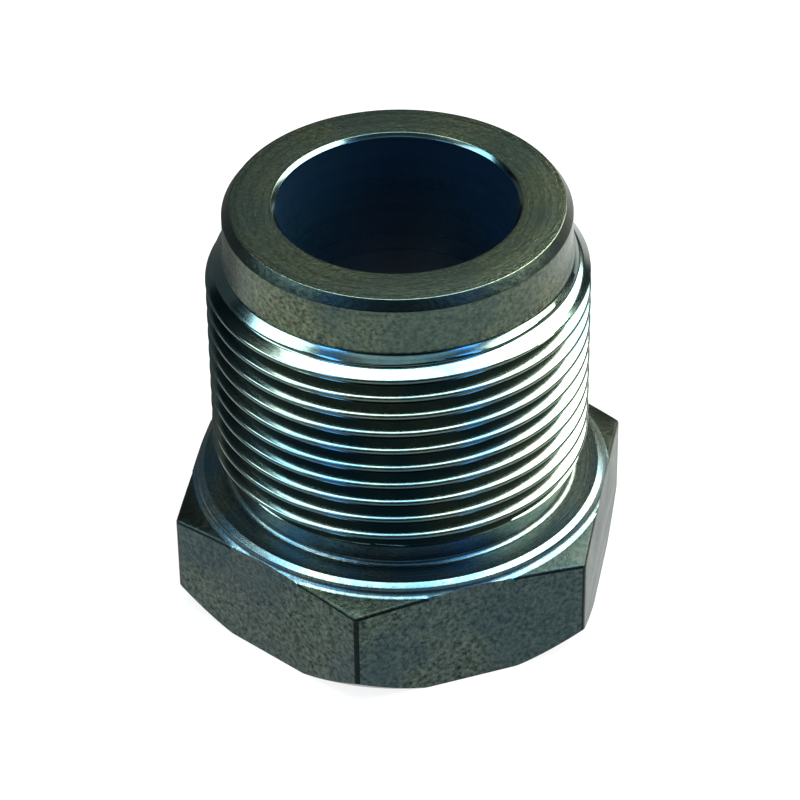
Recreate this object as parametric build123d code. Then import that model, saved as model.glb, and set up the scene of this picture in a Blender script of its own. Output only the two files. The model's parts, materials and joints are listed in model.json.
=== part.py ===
from build123d import *
import math
import os

# A hex nipple: one bar of hexagon steel, turned to a male pipe thread with a plain pilot spigot on
# top and bored through. The hexagon end holds a female pipe thread with a captive flat sealing ring.
# Millimetres, +Z up along the bore, origin at the centre of the hexagon's end face.

# Both threads are parallel pipe threads with eleven turns to the inch and the same form.
THREAD_MAJOR = 41.910
PITCH = 2.309
DEPTH_PER_PITCH = 0.640327
LAND_PER_PITCH = 1 / 6
FLANK_ANGLE = 27.5

# Lengths along the axis.
OVERALL_HEIGHT = 48.6
WASHER_HEIGHT = 14.0
WASHER_STEP = 1.12
SPIGOT_LENGTH = 6.3
UNDERCUT_WIDTH = 2.5
THREAD_PHASE = 2.20
PORT_DEPTH = 20.0
PORT_RELIEF_WIDTH = 4.2
RING_THICKNESS = 2.0

# Widths and walls, from the male thread outwards to the hexagon's flats and inwards to the bore.
WASHER_LAND = 1.845
HEX_MARGIN = 0.20
FOOT_MARGIN = 0.60
SPIGOT_STEP = 0.5765
UNDERCUT_STEP = 0.2765
PORT_WALL = 2.852
PORT_RELIEF_STEP = 0.375
SEAT_LEDGE = 2.046

# Edges.
HEX_TOP_SLOPE = 12
HEX_FOOT_ANGLE = 45
SPIGOT_CHAMFER_LENGTH = 1.1
SPIGOT_CHAMFER_ANGLE = 35
BORE_CHAMFER = 0.4
UNDERCUT_FILLET = 0.7
WASHER_FILLET = 1.0
SPIGOT_FILLET = 0.8
PORT_MOUTH_STEP = 0.4

# The sealing ring sits in the port's relief with room around it.
RING_CLEARANCE = 0.25
RING_BORE_SETBACK = 0.4

# Cutting tools run this far past what they cut. A thread groove's overrun is small enough to leave
# its neighbouring turns apart.
OVERRUN = 0.5
GROOVE_OVERRUN = 0.15

thread_depth = DEPTH_PER_PITCH * PITCH
major_radius = THREAD_MAJOR / 2
root_radius = major_radius - thread_depth
spigot_radius = root_radius - SPIGOT_STEP
undercut_radius = root_radius - UNDERCUT_STEP
washer_radius = major_radius + WASHER_LAND
flat_distance = washer_radius + HEX_MARGIN
foot_radius = flat_distance + FOOT_MARGIN
port_major_radius = root_radius - PORT_WALL
port_minor_radius = port_major_radius - thread_depth
port_relief_radius = port_major_radius + PORT_RELIEF_STEP
port_mouth_radius = port_major_radius + PORT_MOUTH_STEP
bore_radius = port_minor_radius - SEAT_LEDGE
spigot_base = OVERALL_HEIGHT - SPIGOT_LENGTH
hex_top = WASHER_HEIGHT - WASHER_STEP
undercut_top = WASHER_HEIGHT + UNDERCUT_WIDTH
relief_bottom = PORT_DEPTH - PORT_RELIEF_WIDTH


def turned(outline):
    """The solid that an outline of (radius, height) points sweeps about the Z axis."""
    points = [(radius, 0, height) for radius, height in outline]
    return revolve(make_face(Polyline(points, close=True)), Axis.Z)


def direction(degrees):
    """The unit vector at an angle above the outward radius, in the outlines' plane."""
    return Vector(math.cos(math.radians(degrees)), 0, math.sin(math.radians(degrees)))


def corner_ring(radius, height, first_angle, second_angle, fillet):
    """The ring of metal that rounds an inside corner between two faces at the given angles."""
    corner = Vector(radius, 0, height)
    half_angle = math.radians(abs(first_angle - second_angle) / 2)
    middle_way = direction((first_angle + second_angle) / 2)
    first = corner + direction(first_angle) * (fillet / math.tan(half_angle))
    second = corner + direction(second_angle) * (fillet / math.tan(half_angle))
    middle = corner + middle_way * (fillet / math.sin(half_angle) - fillet)
    edges = [Line(corner, first), ThreePointArc(first, middle, second), Line(second, corner)]
    return revolve(make_face(edges), Axis.Z)


def hexagon():
    """The hexagon with a corner on -Y: chamfered foot, gently coned top, and a low washer boss."""
    corner_radius = flat_distance / math.cos(math.radians(30))
    rim = corner_radius + OVERRUN
    foot_rise = (rim - foot_radius) * math.tan(math.radians(HEX_FOOT_ANGLE))
    top_fall = (rim - washer_radius) * math.tan(math.radians(HEX_TOP_SLOPE))
    prism = extrude(RegularPolygon(corner_radius, 6, rotation=90), WASHER_HEIGHT)
    turned_ends = turned([
        (0, 0),
        (foot_radius, 0),
        (rim, foot_rise),
        (rim, hex_top - top_fall),
        (washer_radius, hex_top),
        (washer_radius, WASHER_HEIGHT),
        (0, WASHER_HEIGHT),
    ])
    return prism & (turned_ends + corner_ring(washer_radius, hex_top, 90, -HEX_TOP_SLOPE, WASHER_FILLET))


def shank():
    """The turned shank before threading: undercut, thread diameter, start chamfer and spigot."""
    run_out = major_radius - undercut_radius
    start_chamfer = major_radius - spigot_radius
    end_radius = spigot_radius - SPIGOT_CHAMFER_LENGTH * math.tan(math.radians(SPIGOT_CHAMFER_ANGLE))
    undercut_corner = corner_ring(undercut_radius, WASHER_HEIGHT, 0, 90, UNDERCUT_FILLET)
    spigot_corner = corner_ring(spigot_radius, spigot_base, -45, 90, SPIGOT_FILLET)
    blank = turned([
        (0, 0),
        (undercut_radius, 0),
        (undercut_radius, undercut_top),
        (major_radius, undercut_top + run_out),
        (major_radius, spigot_base - start_chamfer),
        (spigot_radius, spigot_base),
        (spigot_radius, OVERALL_HEIGHT - SPIGOT_CHAMFER_LENGTH),
        (end_radius, OVERALL_HEIGHT),
        (0, OVERALL_HEIGHT),
    ])
    return blank + undercut_corner + spigot_corner


def thread_groove(mouth_radius, root, start_height, turns):
    """A right-hand helical cutter whose section widens outwards from its root.

    Its path has one edge for each turn, because a boolean loses a cutter made along one long edge.
    """
    half_root = LAND_PER_PITCH * PITCH / 2
    half_mouth = half_root + (mouth_radius - root) * math.tan(math.radians(FLANK_ANGLE))
    section = make_face(Polyline(
        (root, 0, start_height - half_root),
        (mouth_radius, 0, start_height - half_mouth),
        (mouth_radius, 0, start_height + half_mouth),
        (root, 0, start_height + half_root),
        close=True,
    ))
    one_turn = Helix(PITCH, PITCH, root)
    path = Wire([Pos(0, 0, start_height + PITCH * turn) * one_turn for turn in range(turns)])
    return sweep(section, path=path, is_frenet=True)


def threaded_shank():
    """The shank with its thread cut from the undercut out through the start chamfer."""
    start_height = WASHER_HEIGHT + THREAD_PHASE
    groove = thread_groove(
        mouth_radius=major_radius + GROOVE_OVERRUN,
        root=root_radius,
        start_height=start_height,
        turns=math.ceil((spigot_base - start_height) / PITCH) + 1,
    )
    return shank() - groove


def passage():
    """All that is open along the axis, as a solid: female port, relief, seat and through bore.

    The port is first as wide as its thread's outer diameter, and the groove cut into this solid is
    the thread's ridge in the body. The ridge starts and ends blunt, clear of mouth and relief.
    """
    mouth_chamfer = port_mouth_radius - port_major_radius
    relief_chamfer = port_relief_radius - port_major_radius
    open_space = turned([
        (0, -OVERRUN),
        (port_mouth_radius, -OVERRUN),
        (port_mouth_radius, 0),
        (port_major_radius, mouth_chamfer),
        (port_major_radius, relief_bottom - relief_chamfer),
        (port_relief_radius, relief_bottom),
        (port_relief_radius, PORT_DEPTH),
        (bore_radius, PORT_DEPTH),
        (bore_radius, OVERALL_HEIGHT - BORE_CHAMFER),
        (bore_radius + BORE_CHAMFER, OVERALL_HEIGHT),
        (bore_radius + BORE_CHAMFER, OVERALL_HEIGHT + OVERRUN),
        (0, OVERALL_HEIGHT + OVERRUN),
    ])
    first_turn = mouth_chamfer + PITCH / 2
    ridge = thread_groove(
        mouth_radius=port_major_radius + GROOVE_OVERRUN,
        root=port_minor_radius,
        start_height=first_turn,
        turns=math.floor((relief_bottom - relief_chamfer - PITCH / 2 - first_turn) / PITCH),
    )
    return open_space - ridge


def nipple_body():
    return hexagon() + threaded_shank() - passage()


def sealing_ring():
    """The flat ring that lies on the seat at the end of the port, held in by the thread below it."""
    outer = port_relief_radius - RING_CLEARANCE
    inner = bore_radius + RING_BORE_SETBACK
    bottom = PORT_DEPTH - RING_THICKNESS
    return turned([
        (inner, bottom),
        (outer, bottom),
        (outer, PORT_DEPTH),
        (inner, PORT_DEPTH),
    ])


os.makedirs("parts", exist_ok=True)
for name, shape in {"nipple_body": nipple_body(), "sealing_ring": sealing_ring()}.items():
    export_step(shape, f"parts/{name}.step")
    print(name, "volume", round(shape.volume, 1), "mm3, valid", shape.is_valid)
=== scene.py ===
# %% [markdown]
# # A hex nipple in zinc-plated steel
#
# The part is a pipe nipple turned from one bar of hexagon steel: a hexagon to hold it by, a flat
# washer face, an undercut, a parallel pipe thread, and a plain spigot that finds the middle of the
# hole before the thread bites. A bore goes right through, and the hexagon end holds a smaller
# female thread with a flat rubber ring at its end.
#
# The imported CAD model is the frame. It has the right sizes, but its thread has flat crests and most
# of its edges are sharp, and bright turned metal is seen mostly by the light that its rounded crests
# and edges catch. So the body is modelled again here, inside the same box.

# %% Load the frame
import json
import math

import bmesh
import bpy
from mathutils import Matrix, Vector

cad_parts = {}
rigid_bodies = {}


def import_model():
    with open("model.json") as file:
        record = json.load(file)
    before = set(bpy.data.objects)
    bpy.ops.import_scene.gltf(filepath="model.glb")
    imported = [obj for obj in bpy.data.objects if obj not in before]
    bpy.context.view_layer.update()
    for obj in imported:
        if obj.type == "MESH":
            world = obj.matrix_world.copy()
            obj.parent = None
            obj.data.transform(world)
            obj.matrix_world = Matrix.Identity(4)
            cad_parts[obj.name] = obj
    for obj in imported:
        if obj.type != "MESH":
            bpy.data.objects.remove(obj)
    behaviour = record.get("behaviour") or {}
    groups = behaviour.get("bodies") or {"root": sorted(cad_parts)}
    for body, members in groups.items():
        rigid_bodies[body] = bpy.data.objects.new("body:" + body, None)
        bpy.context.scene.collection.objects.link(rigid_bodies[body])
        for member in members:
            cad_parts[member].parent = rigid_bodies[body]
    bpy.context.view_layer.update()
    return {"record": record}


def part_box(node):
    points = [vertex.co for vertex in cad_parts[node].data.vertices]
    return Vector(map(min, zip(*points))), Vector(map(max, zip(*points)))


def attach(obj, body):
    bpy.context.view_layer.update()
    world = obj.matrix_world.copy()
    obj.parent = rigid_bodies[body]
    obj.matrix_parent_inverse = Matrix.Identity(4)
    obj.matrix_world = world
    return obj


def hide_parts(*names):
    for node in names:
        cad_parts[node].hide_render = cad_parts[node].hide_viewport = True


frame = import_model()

mm = 0.001
body_low, body_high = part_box("nipple_body")
ring_low, ring_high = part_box("sealing_ring")
print("body", [round((high - low) / mm, 2) for low, high in zip(body_low, body_high)], "mm")

# %% [markdown]
# ## Sizes
#
# What the frame can tell is read from it: the overall height, the distance across the hexagon's
# flats, and where the sealing ring lies. The mounts give the bore, the spigot, the washer face and
# both threads. The rest are the small edges and reliefs that a turner works to.

# %% Sizes from the frame and from the turner's drawing
mounts = {mount["name"]: mount for mount in frame["record"]["mounts"]}


def mount_radius(name):
    return mounts[name]["dims"]["r_mm"] * mm


overall_height = body_high[2]
flat_distance = body_high[0]
washer_height = mounts["washer_face"]["pos_m"][2]
bore_radius = mount_radius("through_bore")
spigot_radius = mount_radius("pilot_spigot")
major_radius = mount_radius("male_thread")
port_minor_radius = mount_radius("female_thread")
port_depth = ring_high[2]

pitch = 2.309 * mm
thread_depth = 0.640327 * pitch
thread_round = 0.137329 * pitch
flank_angle = math.radians(27.5)
root_radius = major_radius - thread_depth
port_major_radius = port_minor_radius + thread_depth
port_relief_radius = port_major_radius + 0.375 * mm
washer_radius = major_radius + 1.845 * mm
foot_radius = flat_distance + 0.6 * mm
undercut_radius = root_radius - 0.2765 * mm
hex_top = washer_height - 1.12 * mm
undercut_top = washer_height + 2.5 * mm
spigot_base = overall_height - 6.3 * mm
relief_bottom = port_depth - 4.2 * mm
print("thread", round(2 * major_radius / mm, 3), "mm, hexagon", round(2 * flat_distance / mm, 2), "mm")

# %% [markdown]
# ## The turned body
#
# On the real part a lathe tool follows an outline while the bar spins. The same idea makes the
# mesh: a chain of edges is the outline, and the spin operator carries it round the axis. The chain
# has small arcs at its corners, as a real tool leaves, so that every edge catches a line of light.
#
# The threads are the same operator with a rise of one pitch for each turn. Their rows follow the
# helix, so the crest line stays sharp and smooth all the way round. Every spin takes the same
# number of steps, so the plain parts and the threaded parts meet vertex to vertex.

# %% An outline with rounded corners
turn_steps = 240
doublings = 4
weld_distance = 0.004 * mm
# Two finishes hold painted shade: the bore's, nearly black as the shade inside it, and the chamfers' and
# broken edges', nearly black so that they mirror little.
satin_finish, drawn_finish, bright_finish, bore_painted_shade_finish, chamfer_and_edge_painted_shade_finish, washer_finish = range(6)


def outline_points(corners, arc_steps=5):
    """The (radius, height) points of a chain, with an arc of the radius given at each corner."""
    points = []
    for index, (radius, height, rounding) in enumerate(corners):
        here = Vector((radius, height))
        if rounding == 0 or index in (0, len(corners) - 1):
            points.append(here)
            continue
        before = (Vector(corners[index - 1][:2]) - here).normalized()
        after = (Vector(corners[index + 1][:2]) - here).normalized()
        half_angle = before.angle(after) / 2
        reach = rounding / math.tan(half_angle)
        start, end = here + before * reach, here + after * reach
        centre = here + (before + after).normalized() * (rounding / math.sin(half_angle))
        sweep = math.pi - 2 * half_angle
        for step in range(arc_steps + 1):
            share = step / arc_steps
            spoke = (start - centre).lerp(end - centre, share)
            if sweep > 0.01:
                spoke = ((start - centre) * math.sin((1 - share) * sweep)
                         + (end - centre) * math.sin(share * sweep)) / math.sin(sweep)
            points.append(centre + spoke)
    return points


def lathe(points, finish, rise=0.0):
    """A mesh of a (radius, height) chain turned once round Z, rising as it goes for a thread.

    Only a slice is spun, because each step of a spin gets slower as the mesh grows. The slice is
    then doubled until it closes.
    """
    mesh = bmesh.new()
    verts = [mesh.verts.new((radius, 0, height)) for radius, height in points]
    edges = [mesh.edges.new(pair) for pair in zip(verts, verts[1:])]
    slice_angle = math.tau / 2**doublings
    bmesh.ops.spin(
        mesh, geom=verts + edges, cent=(0, 0, 0), axis=(0, 0, 1), dvec=(0, 0, rise / turn_steps),
        angle=slice_angle, steps=turn_steps // 2**doublings, use_merge=False, use_duplicate=False)
    for doubling in range(doublings):
        angle = slice_angle * 2**doubling
        copy = bmesh.ops.duplicate(mesh, geom=mesh.verts[:] + mesh.edges[:] + mesh.faces[:])
        moved = [item for item in copy["geom"] if isinstance(item, bmesh.types.BMVert)]
        bmesh.ops.rotate(mesh, verts=moved, cent=(0, 0, 0), matrix=Matrix.Rotation(angle, 3, "Z"))
        bmesh.ops.translate(mesh, verts=moved, vec=(0, 0, rise * angle / math.tau))
    bmesh.ops.remove_doubles(mesh, verts=mesh.verts, dist=weld_distance)
    for face in mesh.faces:
        face.material_index = finish
        face.smooth = True
    return mesh


def weld_on(mesh, piece):
    """Adds one mesh to another, and frees the one added."""
    carrier = bpy.data.meshes.new("carrier")
    piece.to_mesh(carrier)
    mesh.from_mesh(carrier)
    bpy.data.meshes.remove(carrier)
    piece.free()


print("one step of the spin is", round(math.tau * major_radius / turn_steps / mm, 2), "mm at the thread")

# %% [markdown]
# ## One turn of thread
#
# The outline of a pipe thread is two straight flanks of 55 degrees with a round root and a round
# crest of the same radius. It repeats every pitch, so one pitch of it is written down once and
# laid end to end.

# %% The outline of a thread
def thread_outline(inner_radius, low, high, root_at, crest_steps=8, root_steps=4, flank_steps=6):
    """The points of a thread from one height to another, with a root centred on the height root_at."""
    lean = math.pi / 2 - flank_angle
    one_pitch = []
    for step in range(root_steps):
        angle = lean * (2 * step / root_steps - 1)
        one_pitch.append((thread_round * (1 - math.cos(angle)), thread_round * math.sin(angle)))
    foot = (thread_round * (1 - math.cos(lean)), thread_round * math.sin(lean))
    head = (thread_depth - foot[0], pitch / 2 - foot[1])
    for step in range(flank_steps):
        share = step / flank_steps
        one_pitch.append((foot[0] + (head[0] - foot[0]) * share, foot[1] + (head[1] - foot[1]) * share))
    for step in range(crest_steps):
        angle = lean * (2 * step / crest_steps - 1)
        one_pitch.append((thread_depth - thread_round * (1 - math.cos(angle)),
                          pitch / 2 + thread_round * math.sin(angle)))
    for step in range(flank_steps):
        share = step / flank_steps
        one_pitch.append((head[0] + (foot[0] - head[0]) * share,
                          pitch - head[1] + (head[1] - foot[1]) * share))
    first = math.floor((low - root_at) / pitch)
    last = math.ceil((high - root_at) / pitch)
    return [(inner_radius + depth, root_at + pitch * turn + along)
            for turn in range(first, last + 1) for depth, along in one_pitch]


print("rows in one pitch:", len(thread_outline(root_radius, 0, 0, 0.0)))

# %% [markdown]
# ## From bar to body
#
# Three chains are spun. The first runs from the port's mouth round the hexagon's collar to the
# undercut, the second from the start of the thread over the spigot and down the bore to the
# port's relief. The two threads fill the gaps between them: their rows are spun with a rise, and
# each vertex that stands outside the blank is then pulled in to it, as the tool that turned the
# chamfers would have taken it off.

# %% Spin the outlines and the threads
thread_low = undercut_top + (root_radius - undercut_radius) - 0.03 * mm
thread_high = spigot_base - (root_radius - spigot_radius) + 0.03 * mm
port_mouth_radius = port_major_radius + 0.4 * mm
port_low = port_mouth_radius - port_major_radius - 0.02 * mm
port_high = relief_bottom - (port_relief_radius - port_major_radius) + 0.02 * mm
foot_slope, cone_slope, end_slope = math.radians(45), math.radians(12), math.radians(35)
collar_radius = 27.2 * mm
collar_foot = (collar_radius - foot_radius) * math.tan(foot_slope)
collar_top = hex_top - (collar_radius - washer_radius) * math.tan(cone_slope)
washer_chamfer_height, washer_chamfer_width = 0.34 * mm, 0.62 * mm
spigot_chamfer = 1.1 * mm
end_radius = spigot_radius - spigot_chamfer * math.tan(end_slope)
bore_chamfer = 0.4 * mm


def blank_radius(height):
    """How far out the turned blank stands beside the male thread."""
    return min(major_radius, undercut_radius + height - undercut_top, spigot_radius + spigot_base - height)


def port_radius(height):
    """How far out the port is opened beside the female thread."""
    return max(port_minor_radius, port_mouth_radius - height,
               port_relief_radius - (relief_bottom - height))


def thread_rows(outline, low, high, fit_radius):
    """Turns a thread, then trims it between two heights and to the radius that fit_radius gives."""
    mesh = lathe(outline, bright_finish, rise=pitch)
    for vert in mesh.verts:
        height = min(max(vert.co.z, low), high)
        radius = math.hypot(vert.co.x, vert.co.y)
        scale = fit_radius(radius, height) / radius
        vert.co = Vector((vert.co.x * scale, vert.co.y * scale, height))
    return mesh


lower_chain = outline_points([
    (port_mouth_radius - port_low, port_low, 0),
    (port_mouth_radius, 0, 0.08 * mm),
    (foot_radius, 0, 0.25 * mm),
    (collar_radius, collar_foot, 0),
    (collar_radius, collar_top, 0),
    (washer_radius, hex_top, 0.9 * mm),
    (washer_radius, washer_height - washer_chamfer_height, 0.05 * mm),
    (washer_radius - washer_chamfer_width, washer_height, 0.15 * mm),
    (undercut_radius, washer_height, 0.7 * mm),
    (undercut_radius, undercut_top, 0.2 * mm),
    (blank_radius(thread_low), thread_low, 0),
])
upper_chain = outline_points([
    (blank_radius(thread_high), thread_high, 0),
    (spigot_radius, spigot_base, 0.8 * mm),
    (spigot_radius, overall_height - spigot_chamfer, 0.2 * mm),
    (end_radius, overall_height, 0.15 * mm),
    (bore_radius + bore_chamfer, overall_height, 0.08 * mm),
    (bore_radius, overall_height - bore_chamfer, 0.1 * mm),
    (bore_radius, port_depth, 0.1 * mm),
    (port_relief_radius, port_depth, 0.2 * mm),
    (port_relief_radius, relief_bottom, 0.1 * mm),
    (port_radius(port_high), port_high, 0),
])
male_root = washer_height + 2.2 * mm

# %% [markdown]
# ## Six flats
#
# The hexagon could be an extruded six-sided prism, joined on. Cutting it from the round collar
# is nearer the real shape, because the curved edge where a flat meets the turned chamfer then
# comes out by itself. A plane cuts the collar six times, and each cut is closed with one face.
# It is done first, while the mesh is still light. The last bevel breaks the sharp corners
# and upper edges, as tumbling and plating do.

# %% Cut the flats and break their edges
body_mesh = lathe(lower_chain, bright_finish)
fillet_end = washer_radius + 0.73 * mm
washer_band = 0.4 * mm
edge_break = 0.35 * mm
broken_above = math.radians(15)
for face in body_mesh.faces:
    centre = face.calc_center_median()
    if centre.z < washer_height - washer_band and math.hypot(centre.x, centre.y) > fillet_end:
        # Painted shade: the cone on top of the hexagon takes the nearly black finish.
        face.material_index = chamfer_and_edge_painted_shade_finish if centre.z > collar_foot else satin_finish
    elif centre.z > hex_top - washer_band:
        face.material_index = washer_finish
for side in range(6):
    normal = Matrix.Rotation(math.radians(60 * side), 3, "Z") @ Vector((1, 0, 0))
    cut = bmesh.ops.bisect_plane(
        body_mesh, geom=body_mesh.verts[:] + body_mesh.edges[:] + body_mesh.faces[:],
        dist=0.0005 * mm, plane_co=normal * flat_distance, plane_no=normal, clear_outer=True)
    rim = [item for item in cut["geom_cut"] if isinstance(item, bmesh.types.BMEdge)]
    made = bmesh.ops.contextual_create(body_mesh, geom=rim)
    for face in made["faces"]:
        face.material_index = drawn_finish
bmesh.ops.recalc_face_normals(body_mesh, faces=body_mesh.faces)
flats = [face for face in body_mesh.faces if len(face.verts) > 8]
sharp_edges = {edge for face in flats for edge in face.edges
               if edge.calc_face_angle(0) > broken_above
               and max(vert.co.z for vert in edge.verts) > collar_foot
               and all(neighbour.material_index != washer_finish for neighbour in edge.link_faces)}
broken = bmesh.ops.bevel(
    body_mesh, geom=list(sharp_edges), offset=edge_break, offset_type="OFFSET", affect="EDGES",
    segments=3, profile=0.5, material=-1, clamp_overlap=False)
# Painted shade: the broken edges take the nearly black finish.
for face in broken["faces"]:
    face.material_index = chamfer_and_edge_painted_shade_finish
print("flats", len(flats), "edges broken", len(sharp_edges))

# %% [markdown]
# ## The spigot, the bore and both threads
#
# The other three chains close the body. Two of them are threads.

# %% Spin the rest and weld it shut
upper_part = lathe(upper_chain, satin_finish)
for face in upper_part.faces:
    centre = face.calc_center_median()
    if centre.z < overall_height - bore_chamfer and (
            math.hypot(centre.x, centre.y) < bore_radius + bore_chamfer):
        # Painted shade: the bore wall takes the near-black finish that stands for the shade inside it.
        face.material_index = bore_painted_shade_finish
    elif overall_height - spigot_chamfer < centre.z < overall_height and (
            math.hypot(centre.x, centre.y) > end_radius):
        # Painted shade: the chamfer round the end face takes the nearly black finish.
        face.material_index = chamfer_and_edge_painted_shade_finish
    elif centre.z < spigot_base and centre.z > port_depth or centre.z > overall_height - bore_chamfer and (
            math.hypot(centre.x, centre.y) < bore_radius + bore_chamfer):
        face.material_index = bright_finish
weld_on(body_mesh, upper_part)
weld_on(body_mesh, thread_rows(
    thread_outline(root_radius, thread_low - pitch, thread_high, male_root),
    thread_low, thread_high,
    lambda radius, height: min(radius, blank_radius(height))))
weld_on(body_mesh, thread_rows(
    thread_outline(port_minor_radius, port_low - pitch, port_high, 0.0,
                   crest_steps=3, root_steps=5, flank_steps=3),
    port_low, port_high,
    lambda radius, height: max(radius, port_radius(height))))
bmesh.ops.remove_doubles(body_mesh, verts=body_mesh.verts, dist=weld_distance)
bmesh.ops.dissolve_degenerate(body_mesh, edges=body_mesh.edges, dist=0.002 * mm)
bmesh.ops.recalc_face_normals(body_mesh, faces=body_mesh.faces)
open_edges = [edge for edge in body_mesh.edges if len(edge.link_faces) != 2]
print("body:", len(body_mesh.faces), "faces,", len(open_edges), "open edges,",
      round(body_mesh.calc_volume() / mm**3), "cubic mm")

# %% [markdown]
# ## The object in the scene
#
# The finished mesh becomes an object at the origin, rides on the frame's one body, and stands for
# the CAD body. Shading is smooth across the small steps of the spin, and breaks only where two
# faces meet at a real edge.

# %% Put the body in the scene
sharp_above = math.radians(38)


def piece_from(mesh, name, materials, node):
    """Makes an object of a bmesh, gives it its finishes and stands it for a CAD node."""
    data = bpy.data.meshes.new(name)
    mesh.to_mesh(data)
    mesh.free()
    for material in materials:
        data.materials.append(material)
    data.set_sharp_from_angle(angle=sharp_above)
    piece = bpy.data.objects.new(name, data)
    bpy.context.collection.objects.link(piece)
    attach(piece, "root")
    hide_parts(node)
    print(name, len(data.polygons), "faces")
    return piece


# %% [markdown]
# ## Materials
#
# The steel is free-cutting steel with a thin coat of zinc and a clear blue passivation. It is one
# metal, but how each surface was cut changes what it shows: a turned face has fine rings, the
# hexagon keeps the dull grain of the drawn bar, the thread is burnished by the die, and the deep
# bore looks blue where the passivation is seen at a slant. Two finishes also carry painted shade:
# the bore is painted near black as the shade inside it, and the chamfers and broken edges are
# painted near black so that they mirror little.

# %% Helpers for colours and nodes
def linear(hex_colour):
    """A linear colour from an sRGB hex value."""
    shares = [int(hex_colour[start:start + 2], 16) / 255 for start in (1, 3, 5)]
    return [share / 12.92 if share <= 0.04045 else ((share + 0.055) / 1.055) ** 2.4
            for share in shares] + [1.0]


def node(tree, kind, links=(), **settings):
    """Adds a node, sets its properties and inputs by name, and links (socket, output) pairs."""
    made = tree.nodes.new(kind)
    for key, value in settings.items():
        if key[0].islower():
            setattr(made, key, value)
        else:
            made.inputs[key.replace("_", " ")].default_value = value
    for socket, output in links:
        tree.links.new(output, made.inputs[socket])
    return made


def new_material(name):
    """An empty node material and its tree."""
    material = bpy.data.materials.new(name)
    material.use_nodes = True
    material.node_tree.nodes.clear()
    return material, material.node_tree


# %% [markdown]
# ### Zinc-plated steel
#
# All the steel shares one recipe. Rings come from noise that is stretched round the axis: its
# coordinates are the distance from the axis and the height, and not the angle. Grain comes from
# plain noise a few tenths of a millimetre across. Rings change roughness and bump, and grain changes
# colour and bump, as a real scratch does.

# %% Zinc-plated steel
def zinc_plated_steel(name, dark, light, tint, tint_share, metallic, roughness,
                      ring_bump, grain_bump, ring_mm, grain_mm):
    """Plated steel with turned rings and specks. Bumps and pattern sizes are in millimetres."""
    material, tree = new_material(name)
    place = node(tree, "ShaderNodeTexCoord")
    split = node(tree, "ShaderNodeSeparateXYZ", [("Vector", place.outputs["Object"])])
    flat = node(tree, "ShaderNodeCombineXYZ", [("X", split.outputs["X"]), ("Y", split.outputs["Y"])])
    radius = node(tree, "ShaderNodeVectorMath", [(0, flat.outputs["Vector"])], operation="LENGTH")
    turned = node(tree, "ShaderNodeCombineXYZ", [("X", radius.outputs["Value"]), ("Y", split.outputs["Z"])])
    rings = node(tree, "ShaderNodeTexNoise", [("Vector", turned.outputs["Vector"])],
                 Scale=1 / (ring_mm * mm), Detail=3.0, Roughness=0.6)
    grain = node(tree, "ShaderNodeTexNoise", [("Vector", place.outputs["Object"])],
                 Scale=1 / (grain_mm * mm), Detail=4.0, Roughness=0.65)
    clouds = node(tree, "ShaderNodeTexNoise", [("Vector", place.outputs["Object"])],
                  Scale=1 / (14 * mm), Detail=4.0, Roughness=0.55)
    grain_share = node(tree, "ShaderNodeMapRange", [("Value", grain.outputs["Fac"])],
                       From_Min=0.3, From_Max=0.7)
    shade = node(tree, "ShaderNodeMix", [(0, grain_share.outputs["Result"])], data_type="RGBA")
    shade.inputs[6].default_value = linear(dark)
    shade.inputs[7].default_value = linear(light)
    spread = node(tree, "ShaderNodeMapRange", [("Value", clouds.outputs["Fac"])],
                  From_Min=0.42, From_Max=0.60, To_Min=0.0, To_Max=tint_share)
    tinted = node(tree, "ShaderNodeMix", [(0, spread.outputs["Result"]), (6, shade.outputs[2])],
                  data_type="RGBA")
    tinted.inputs[7].default_value = linear(tint)
    gloss = node(tree, "ShaderNodeMapRange", [("Value", rings.outputs["Fac"])],
                 From_Min=0.3, From_Max=0.7, To_Min=roughness * 0.85, To_Max=roughness * 1.2)
    ring_relief = node(tree, "ShaderNodeBump", [("Height", rings.outputs["Fac"])],
                       Strength=1.0, Distance=ring_bump * mm)
    relief = node(tree, "ShaderNodeBump",
                  [("Height", grain.outputs["Fac"]), ("Normal", ring_relief.outputs["Normal"])],
                  Strength=1.0, Distance=grain_bump * mm)
    shader = node(tree, "ShaderNodeBsdfPrincipled",
                  [("Base Color", tinted.outputs[2]), ("Roughness", gloss.outputs["Result"]),
                   ("Normal", relief.outputs["Normal"])], Metallic=metallic)
    node(tree, "ShaderNodeOutputMaterial", [("Surface", shader.outputs["BSDF"])])
    return material


# Turned with a fine feed and plated: an olive-grey satin with faint rings and dark specks. Feed marks are
# about 0.15 mm apart, too fine to show, so they are drawn as bands of about a millimetre.
satin_steel = zinc_plated_steel(
    "zinc_plated_steel_satin", dark="#10150f", light="#6c7660", tint="#314547", tint_share=0.6,
    metallic=1.0, roughness=0.27, ring_bump=0.006, grain_bump=0.070, ring_mm=1.1, grain_mm=0.45)
# The bar's own drawn skin under the zinc: dull, blue-green, with specks and no rings. The grain is a
# tenth of a millimetre and is drawn about five times coarser, so that it shows.
drawn_steel = zinc_plated_steel(
    "zinc_plated_steel_drawn_bar", dark="#050908", light="#56645b", tint="#20343f", tint_share=0.5,
    metallic=1.0, roughness=0.36, ring_bump=0.0, grain_bump=0.080, ring_mm=2.0, grain_mm=0.50)
# Cut by a die, which burnishes: the smoothest steel here, so each round crest carries a thin white line.
bright_steel = zinc_plated_steel(
    "zinc_plated_steel_die_cut", dark="#434d48", light="#56625a", tint="#2a4650", tint_share=0.8,
    metallic=1.0, roughness=0.16, ring_bump=0.003, grain_bump=0.002, ring_mm=0.4, grain_mm=0.5)
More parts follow.
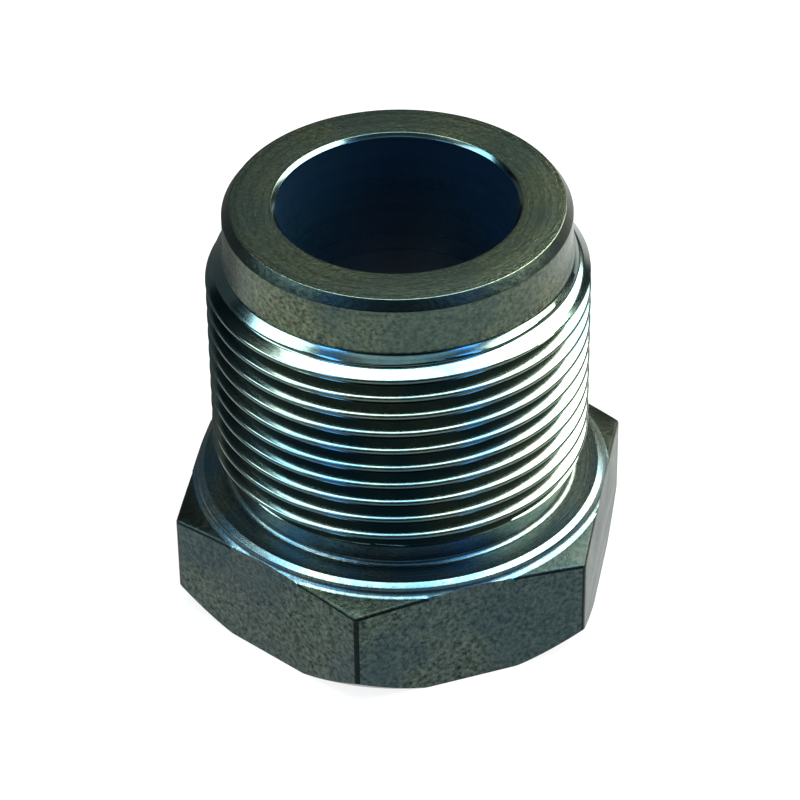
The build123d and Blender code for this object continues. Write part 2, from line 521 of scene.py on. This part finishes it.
# Bored deep: the blue is the passivated zinc seen at a slant, and the near-black base is painted shade,
# the shade inside the deep bore. Less metallic than the rest, because the film over the zinc hides much of
# its mirror.
bore_painted_shade_steel = zinc_plated_steel(
    "zinc_plated_steel_bore_painted_shade", dark="#020e18", light="#041a28", tint="#031426", tint_share=0.8,
    metallic=0.5, roughness=0.30, ring_bump=0.003, grain_bump=0.004, ring_mm=0.6, grain_mm=0.7)
# Painted shade: the broken edges, the cone on top of the hexagon and the chamfer round the end face
# get a nearly black base, so that they mirror little of the softboxes and stay dark.
chamfer_and_edge_painted_shade_steel = zinc_plated_steel(
    "zinc_plated_steel_chamfer_and_edge_painted_shade", dark="#060807", light="#20261f", tint="#101a1d", tint_share=0.7,
    metallic=1.0, roughness=0.32, ring_bump=0.0, grain_bump=0.050, ring_mm=2.0, grain_mm=0.6)
# Faced across with a wider tool than the satin parts: soft enough to spread one light into a band.
washer_steel = zinc_plated_steel(
    "zinc_plated_steel_faced", dark="#2c3634", light="#56625c", tint="#244456", tint_share=0.8,
    metallic=1.0, roughness=0.27, ring_bump=0.004, grain_bump=0.012, ring_mm=0.4, grain_mm=0.45)

body = piece_from(body_mesh, "nipple_body_plated",
                  [satin_steel, drawn_steel, bright_steel, bore_painted_shade_steel, chamfer_and_edge_painted_shade_steel, washer_steel],
                  "nipple_body")

# %% [markdown]
# ## The sealing ring
#
# The ring is pressed from nitrile rubber sheet: flat on both sides, with edges that a punch
# leaves slightly round. It is one short chain, closed on itself and turned like the rest.

# %% Nitrile rubber
def pressed_rubber():
    """Matt black rubber with a faint bloom of talc, as sheet comes off the press."""
    material, tree = new_material("nitrile_rubber_pressed")
    place = node(tree, "ShaderNodeTexCoord")
    talc = node(tree, "ShaderNodeTexNoise", [("Vector", place.outputs["Object"])],
                Scale=1 / (1.5 * mm), Detail=6.0, Roughness=0.7)
    shade = node(tree, "ShaderNodeValToRGB", [("Fac", talc.outputs["Fac"])])
    shade.color_ramp.elements[0].color = linear("#1a1b1c")
    shade.color_ramp.elements[1].color = linear("#2f3132")
    relief = node(tree, "ShaderNodeBump", [("Height", talc.outputs["Fac"])],
                  Strength=1.0, Distance=0.02 * mm)
    shader = node(tree, "ShaderNodeBsdfPrincipled",
                  [("Base Color", shade.outputs["Color"]), ("Normal", relief.outputs["Normal"])],
                  Roughness=0.62, IOR=1.52)
    node(tree, "ShaderNodeOutputMaterial", [("Surface", shader.outputs["BSDF"])])
    return material


ring_edge = 0.25 * mm
ring_outer = ring_high[0]
ring_inner = bore_radius + 0.4 * mm
ring_middle = (ring_inner + ring_outer) / 2
ring_chain = outline_points([
    (ring_middle, ring_low[2], 0),
    (ring_outer, ring_low[2], ring_edge),
    (ring_outer, ring_high[2], ring_edge),
    (ring_inner, ring_high[2], ring_edge),
    (ring_inner, ring_low[2], ring_edge),
    (ring_middle, ring_low[2], 0),
])
ring_mesh = lathe(ring_chain, 0)
bmesh.ops.recalc_face_normals(ring_mesh, faces=ring_mesh.faces)
ring = piece_from(ring_mesh, "sealing_ring_rubber", [pressed_rubber()], "sealing_ring")

# %% [markdown]
# ## Floor, light and camera
#
# Bright metal is made by what it mirrors. The walls mirror the pale floor, the round crests and the
# chamfers mirror the softboxes above and at both sides, and the flat faces mirror the dim room behind.

# %% The floor
def opal_sheet():
    """A white acrylic sheet lit from below, which keeps the floor pale and the shadows faint."""
    material, tree = new_material("opal_acrylic_light_table")
    place = node(tree, "ShaderNodeTexCoord")
    mottle = node(tree, "ShaderNodeTexNoise", [("Vector", place.outputs["Object"])],
                  Scale=1 / (30 * mm), Detail=3.0)
    glow = node(tree, "ShaderNodeMix", [(0, mottle.outputs["Fac"])], data_type="RGBA")
    glow.inputs[6].default_value = linear("#f8f8f8")
    glow.inputs[7].default_value = linear("#ffffff")
    shader = node(tree, "ShaderNodeBsdfPrincipled", [("Emission Color", glow.outputs[2])],
                  Roughness=0.9, IOR=1.49, Emission_Strength=0.90)
    shader.inputs["Base Color"].default_value = linear("#303030")
    node(tree, "ShaderNodeOutputMaterial", [("Surface", shader.outputs["BSDF"])])
    return material


floor_mesh = bmesh.new()
bmesh.ops.create_grid(floor_mesh, x_segments=1, y_segments=1, size=3.0)
floor_data = bpy.data.meshes.new("floor")
floor_mesh.to_mesh(floor_data)
floor_mesh.free()
floor_data.materials.append(opal_sheet())
floor = bpy.data.objects.new("floor", floor_data)
bpy.context.collection.objects.link(floor)

# %% [markdown]
# ### Softboxes
#
# Each softbox is an area light, placed by the way it lies from the camera's side. Its radiance is
# given and not its power, so its size can change without changing how bright its mirror image is.

# %% The softboxes
view_azimuth = 11.05
view_elevation = 36.87


def direction(azimuth, elevation):
    """The unit vector towards a place in the studio, with azimuth counted from the camera's side."""
    turn, lift = math.radians(view_azimuth + azimuth), math.radians(elevation)
    return Vector((math.sin(turn) * math.cos(lift), -math.cos(turn) * math.cos(lift), math.sin(lift)))


def softbox(name, azimuth, elevation, distance, width, height, radiance, colour):
    """An area light that faces the nipple, as bright as radiance says whatever its size."""
    data = bpy.data.lights.new(name, "AREA")
    data.shape = "RECTANGLE"
    data.size, data.size_y = width, height
    data.energy = radiance * math.pi * width * height
    data.color = linear(colour)[:3]
    light = bpy.data.objects.new(name, data)
    towards = direction(azimuth, elevation)
    light.location = Vector((0, 0, overall_height / 2)) + towards * distance
    light.rotation_euler = towards.to_track_quat("Z", "Y").to_euler()
    light.visible_camera = False
    bpy.context.collection.objects.link(light)
    return light


softboxes = {
    # name: azimuth, elevation, width, height, radiance, colour
    "overhead": (0, 89.9, 1.30, 0.46, 26, "#f6fffd"),
    "front": (0, 51, 0.90, 0.09, 4, "#f0fffb"),
    "left": (-80, 33, 0.56, 0.36, 20, "#e3f6ff"),
    "right": (108, 42, 1.10, 0.66, 30, "#fffbe9"),
    "left_kicker": (-45, 37, 0.20, 0.20, 26, "#6cb4ff"),
    "right_kicker": (45, 37, 0.20, 0.20, 22, "#6cb4ff"),
    "back": (180, 33, 1.00, 0.40, 0.13, "#eef6f0"),
}
for box_name, (azimuth, elevation, width, height, radiance, colour) in softboxes.items():
    softbox("softbox_" + box_name, azimuth, elevation, 0.9, width, height, radiance, colour)
print("softboxes", len(softboxes))

# %% [markdown]
# ### A black card
#
# A photographer stands a black card beside bright metal where it would mirror too much light. This
# one leans away behind the part and darkens what the left of the spigot mirrors. The camera doesn't
# see it and it throws no shadow, so only reflections show that it is there.

# %% The card
card_near, card_far, card_height = 36 * mm, 170 * mm, 90 * mm
card_mesh = bmesh.new()
card_corners = []
for azimuth, reach, height in ((-108, card_near, 0), (-185, card_near, 0),
                               (-185, card_far, card_height), (-108, card_far, card_height)):
    corner = direction(azimuth, 0) * reach
    card_corners.append(card_mesh.verts.new((corner.x, corner.y, height + 0.5 * mm)))
card_mesh.faces.new(card_corners)
card_data = bpy.data.meshes.new("black_card")
card_mesh.to_mesh(card_data)
card_mesh.free()
card_material, card_tree = new_material("black_card_matt")
card_shader = node(card_tree, "ShaderNodeBsdfPrincipled", Roughness=0.9)
card_shader.inputs["Base Color"].default_value = linear("#141414")
node(card_tree, "ShaderNodeOutputMaterial", [("Surface", card_shader.outputs["BSDF"])])
card_data.materials.append(card_material)
card = bpy.data.objects.new("black_card", card_data)
card.visible_camera = False
card.visible_shadow = False
bpy.context.collection.objects.link(card)

# %% The room
world = bpy.data.worlds.new("dim_room")
world.use_nodes = True
room = world.node_tree.nodes["Background"]
room.inputs["Color"].default_value = linear("#2a7f96")
room.inputs["Strength"].default_value = 0.07
bpy.context.scene.world = world

# %% The camera
camera_data = bpy.data.cameras.new("camera")
camera_data.sensor_width = 36.0
camera_data.lens = 165.9
camera = bpy.data.objects.new("camera", camera_data)
middle = Vector((0, 0, overall_height / 2))
camera.location = middle + direction(0, view_elevation) * 0.4088
aim = Vector((0, 0, overall_height / 2 - 2.4 * mm))
look = (camera.location - aim).to_track_quat("Z", "Y").to_matrix()
roll = Matrix.Rotation(math.radians(-0.815), 3, "Z")
camera.rotation_euler = (look @ roll).to_euler()
bpy.context.collection.objects.link(camera)
bpy.context.scene.camera = camera
bpy.context.scene.view_settings.view_transform = "Standard"
